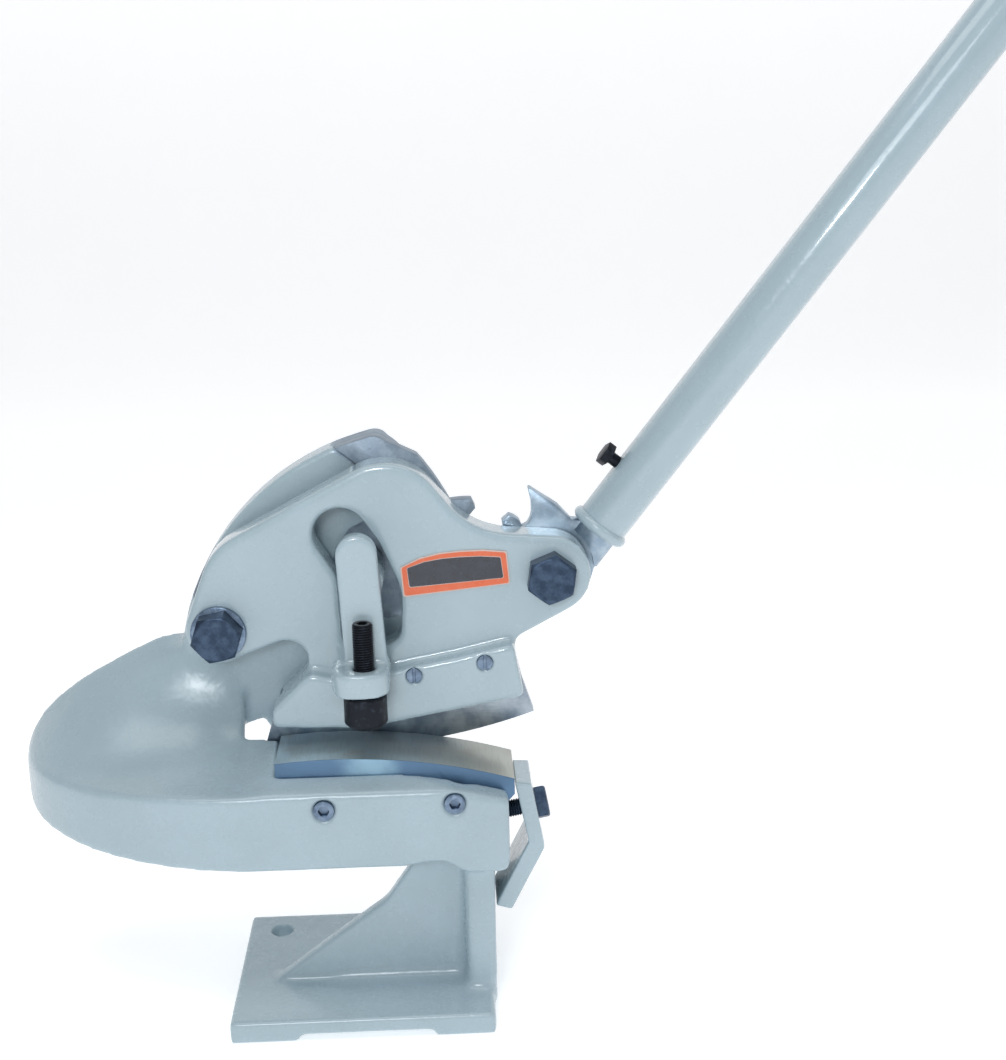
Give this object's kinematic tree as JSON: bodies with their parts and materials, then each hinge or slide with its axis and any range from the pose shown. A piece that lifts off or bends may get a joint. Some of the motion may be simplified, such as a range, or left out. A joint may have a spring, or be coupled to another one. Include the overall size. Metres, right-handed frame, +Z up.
{
  "type": "hand lever plate shear",
  "caption": "Bench plate shear: cast frame with a swept table, pivoting blade arm driven by a toothed lever on a fixed sector, screw hold-down and tube handle.",
  "frame": {"origin": "centre of the foot's underside", "axes": "+X towards the open end of the blades, -Y towards the operator, +Z up"},
  "size_m": [1.0885, 0.192, 1.1467],
  "materials": {
    "enamel": "glossy grey-green enamel over a casting",
    "tube_enamel": "glossy grey-green enamel on smooth pipe",
    "bare_steel": "bare mottled steel",
    "blade_steel": "ground steel",
    "lower_blade_steel": "ground steel, tempered brown and blue",
    "black_oxide": "black oxide",
    "dark_bolt": "oiled dark forging",
    "zinc": "dull zinc",
    "bronze": "turned bronze",
    "label": "glossy orange plate with a plain black field",
    "cap_plastic": "matt black"
  },
  "bodies": {
    "frame": {"frame_casting": "enamel", "tooth_sector": "bare_steel", "sector_screws": "black_oxide", "lower_blade": "lower_blade_steel", "lower_blade_screws": "zinc", "blade_clamp": "enamel", "clamp_screw": "dark_bolt", "arm_pivot_bolt": "dark_bolt", "arm_pivot_washers": "zinc", "arm_pivot_nut": "dark_bolt", "hold_down_bracket": "enamel", "hold_down_bolt": "dark_bolt"},
    "arm": {"blade_arm": "enamel", "arm_bush": "bronze", "upper_blade": "blade_steel", "upper_blade_screws": "zinc", "name_plate": "label", "lever_pivot_bolt": "dark_bolt", "lever_pivot_washer": "zinc", "lever_pivot_nut": "dark_bolt"},
    "lever": {"gear_lever": "bare_steel", "lever_bush": "bronze", "handle_collar": "tube_enamel", "handle_tube": "tube_enamel", "handle_lock_screw": "black_oxide", "handle_end_cap": "cap_plastic"},
    "foot": {"hold_down_foot": "black_oxide"},
    "screw": {"hold_down_screw": "black_oxide"}
  },
  "joints": [
    {"name": "arm_swing", "type": "hinge", "parent": "frame", "child": "arm", "pos_m": [-0.105, 0, 0.309], "axis": [0, 1, 0], "range_deg": [-11, 6.8]},
    {"name": "lever_swing", "type": "hinge", "parent": "arm", "child": "lever", "pos_m": [0.16023, 0, 0.34741], "axis": [0, 1, 0], "range_deg": [-50.6, 31.3]},
    {"name": "foot_travel", "type": "slide", "parent": "frame", "child": "foot", "axis": [0, 0, -1], "range_m": [0, 0.025]},
    {"name": "screw_turn", "type": "hinge", "parent": "foot", "child": "screw", "pos_m": [0.011, -0.032, 0.3], "axis": [0, 0, -1], "range_deg": [0, 4510]}
  ],
  "couplings": [
    {"joint": "lever_swing", "follows": "arm_swing", "ratio": 4.5833},
    {"joint": "screw_turn", "follows": "foot_travel", "rad_per_m": 3141.6}
  ]
}
